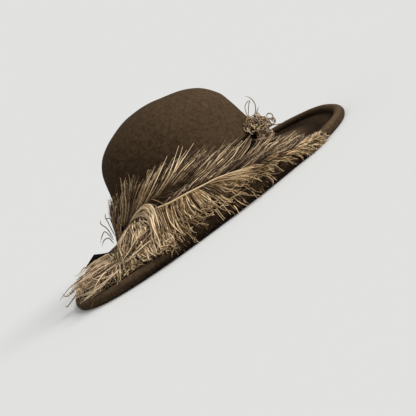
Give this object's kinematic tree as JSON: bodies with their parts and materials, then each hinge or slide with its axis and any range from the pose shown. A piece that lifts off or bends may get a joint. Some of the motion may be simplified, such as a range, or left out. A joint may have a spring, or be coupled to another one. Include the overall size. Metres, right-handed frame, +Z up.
{
  "type": "wide-brim hat",
  "caption": "Wide-brim felt hat with a dented round crown, a rolled brim edge, a dark ribbon band and ostrich plumes along one side.",
  "frame": {"origin": "centre of the bounding box at the level of the surface that the brim rests on", "axes": "+Z up through the crown, +X towards the hat's front, +Y towards the wearer's left, away from the plumes"},
  "size_m": [0.3626, 0.322, 0.1305],
  "materials": {
    "wool_felt": "matt brown wool felt",
    "ribbon": "black grosgrain with a slight sheen",
    "ostrich_feather": "soft taupe barbs with pale shafts"
  },
  "bodies": {
    "root": {"felt_body": "wool_felt", "hatband": "ribbon", "ribbon_tail": "ribbon", "plume_upper": "ostrich_feather", "plume_lower": "ostrich_feather", "plume_arch": "ostrich_feather", "plume_tail": "ostrich_feather", "plume_tuft": "ostrich_feather", "plume_curl": "ostrich_feather"}
  },
  "joints": []
}
